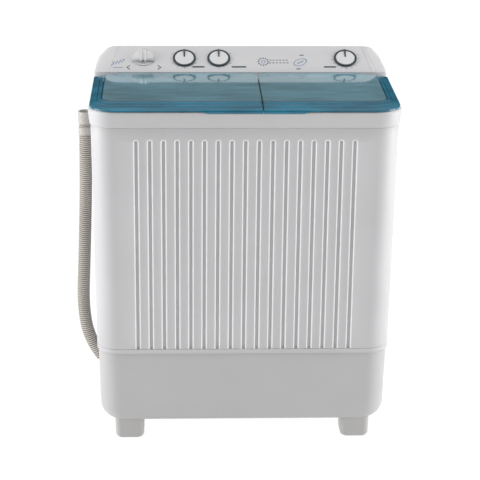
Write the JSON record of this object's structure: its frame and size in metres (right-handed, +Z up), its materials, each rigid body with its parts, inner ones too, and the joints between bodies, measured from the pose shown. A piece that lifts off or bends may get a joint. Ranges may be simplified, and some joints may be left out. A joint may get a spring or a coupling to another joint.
{
  "type": "twin tub washer",
  "caption": "Twin tub washer with a pulsator wash tub, a spin dryer, two clear hinged lids, a sloping control console and a drain hose.",
  "frame": {"origin": "floor level under the middle of the cabinet", "axes": "+Z up, -Y towards the user (front), +X to the machine's right as seen from the front"},
  "size_m": [0.859, 0.482, 0.9836],
  "materials": {
    "white_plastic": "glossy moulded white plastic",
    "console_plastic": "satin white plastic with printed marks",
    "knob_white": "glossy white",
    "tub_plastic": "smooth white polypropylene",
    "pulsator_plastic": "blue moulded plastic",
    "filter_plastic": "pale blue plastic",
    "dark_plastic": "matte",
    "lid_tint": "glossy clear blue plastic",
    "clear_plastic": "clear glossy plastic",
    "hose_plastic": "satin corrugated plastic",
    "rubber": "matte",
    "steel": "bright",
    "basket_steel": "polished stainless steel",
    "motor_steel": "black painted steel",
    "zinc_sheet": "zinc plated",
    "cast_aluminium": "cast",
    "capacitor_shell": "smooth"
  },
  "bodies": {
    "root": {"base": "white_plastic", "leg_front_left": "white_plastic", "leg_rear_left": "white_plastic", "leg_front_right": "white_plastic", "leg_rear_right": "white_plastic", "cabinet": "white_plastic", "rear_panel": "zinc_sheet", "rear_panel_screws": "steel", "top_frame": "white_plastic", "wash_tub": "tub_plastic", "filter_holder": "tub_plastic", "bearing_housing": "dark_plastic", "wash_motor": "motor_steel", "motor_bracket": "zinc_sheet", "drive_belt": "rubber", "spin_outer_tub": "tub_plastic", "spin_tub_seal": "rubber", "spin_motor": "motor_steel", "spin_motor_plate": "zinc_sheet", "spin_motor_springs": "rubber", "brake_post": "zinc_sheet", "lid_hinge_pins": "white_plastic", "inner_lid_pin": "steel", "console_housing": "white_plastic", "console_fascia": "console_plastic", "water_inlet": "dark_plastic", "console_end_cap_left": "white_plastic", "console_end_cap_right": "white_plastic", "wash_timer_unit": "dark_plastic", "selector_unit": "dark_plastic", "spin_timer_unit": "dark_plastic", "drain_valve_body": "dark_plastic", "wash_drain_pipe": "dark_plastic", "spin_drain_pipe": "dark_plastic", "drain_sump": "dark_plastic", "drain_outlet": "dark_plastic", "drain_hose": "hose_plastic", "hose_end_cuff": "hose_plastic", "hose_clip": "white_plastic", "capacitor": "capacitor_shell", "cord_gland": "dark_plastic"},
    "wash_lid": {"wash_lid": "lid_tint"},
    "spin_lid": {"spin_lid": "lid_tint"},
    "inner_lid": {"spin_inner_lid": "clear_plastic"},
    "wash_timer_knob": {"wash_timer_knob": "knob_white"},
    "selector_knob": {"selector_knob": "knob_white"},
    "spin_timer_knob": {"spin_timer_knob": "knob_white"},
    "water_selector": {"water_selector": "clear_plastic"},
    "lint_filter": {"lint_filter": "filter_plastic"},
    "pulsator": {"pulsator": "pulsator_plastic", "pulsator_shaft": "steel", "pulsator_screw": "steel", "wash_pulley": "cast_aluminium"},
    "motor_rotor": {"motor_pulley": "cast_aluminium"},
    "spin_rotor": {"spin_basket": "basket_steel", "balance_ring": "tub_plastic", "spin_shaft": "steel", "brake_drum": "cast_aluminium"},
    "brake_lever": {"brake_lever": "zinc_sheet"},
    "drain_plug": {"drain_valve_plug": "rubber"}
  },
  "joints": [
    {"name": "wash_lid_hinge", "type": "hinge", "parent": "root", "child": "wash_lid", "pos_m": [-0.15, 0.11, 0.9215], "axis": [-1, 0, 0], "range_deg": [0, 100]},
    {"name": "spin_lid_hinge", "type": "hinge", "parent": "root", "child": "spin_lid", "pos_m": [0.19, 0.11, 0.9215], "axis": [-1, 0, 0], "range_deg": [0, 100]},
    {"name": "inner_lid_hinge", "type": "hinge", "parent": "root", "child": "inner_lid", "pos_m": [0.218, 0.084, 0.896], "axis": [-1, 0, 0], "range_deg": [0, 100]},
    {"name": "wash_timer_turn", "type": "hinge", "parent": "root", "child": "wash_timer_knob", "pos_m": [-0.153, 0.1684, 0.954], "axis": [0, 0.5299, -0.848], "range_deg": [0, 330]},
    {"name": "selector_turn", "type": "hinge", "parent": "root", "child": "selector_knob", "pos_m": [-0.059, 0.1684, 0.954], "axis": [0, 0.5299, -0.848], "range_deg": [0, 90]},
    {"name": "spin_timer_turn", "type": "hinge", "parent": "root", "child": "spin_timer_knob", "pos_m": [0.287, 0.1684, 0.954], "axis": [0, 0.5299, -0.848], "range_deg": [0, 300]},
    {"name": "water_selector_turn", "type": "hinge", "parent": "root", "child": "water_selector", "pos_m": [-0.265, 0.1684, 0.954], "axis": [0, 0.5299, -0.848], "range_deg": [-30, 30]},
    {"name": "lint_filter_lift", "type": "slide", "parent": "root", "child": "lint_filter", "axis": [0, 0, 1], "range_m": [0, 0.09]},
    {"name": "pulsator_spin", "type": "hinge", "parent": "root", "child": "pulsator", "pos_m": [-0.185, -0.05, 0.43], "axis": [0, 0, 1], "continuous": true},
    {"name": "wash_motor_spin", "type": "hinge", "parent": "root", "child": "motor_rotor", "pos_m": [-0.06, 0.095, 0.29], "axis": [0, 0, 1], "continuous": true},
    {"name": "basket_spin", "type": "hinge", "parent": "root", "child": "spin_rotor", "pos_m": [0.218, -0.05, 0.45], "axis": [0, 0, 1], "continuous": true},
    {"name": "brake_swing", "type": "hinge", "parent": "root", "child": "brake_lever", "pos_m": [0.2903, -0.12, 0.249], "axis": [0, 0, 1], "range_deg": [0, 4]},
    {"name": "drain_plug_lift", "type": "slide", "parent": "root", "child": "drain_plug", "axis": [0, 0, 1], "range_m": [0, 0.014]}
  ],
  "couplings": [
    {"joint": "inner_lid_hinge", "follows": "spin_lid_hinge", "ratio": 1},
    {"joint": "brake_swing", "follows": "spin_lid_hinge", "ratio": 0.04},
    {"joint": "wash_motor_spin", "follows": "pulsator_spin", "ratio": 3.6364},
    {"joint": "drain_plug_lift", "follows": "selector_turn", "m_per_rad": 0.0089}
  ]
}
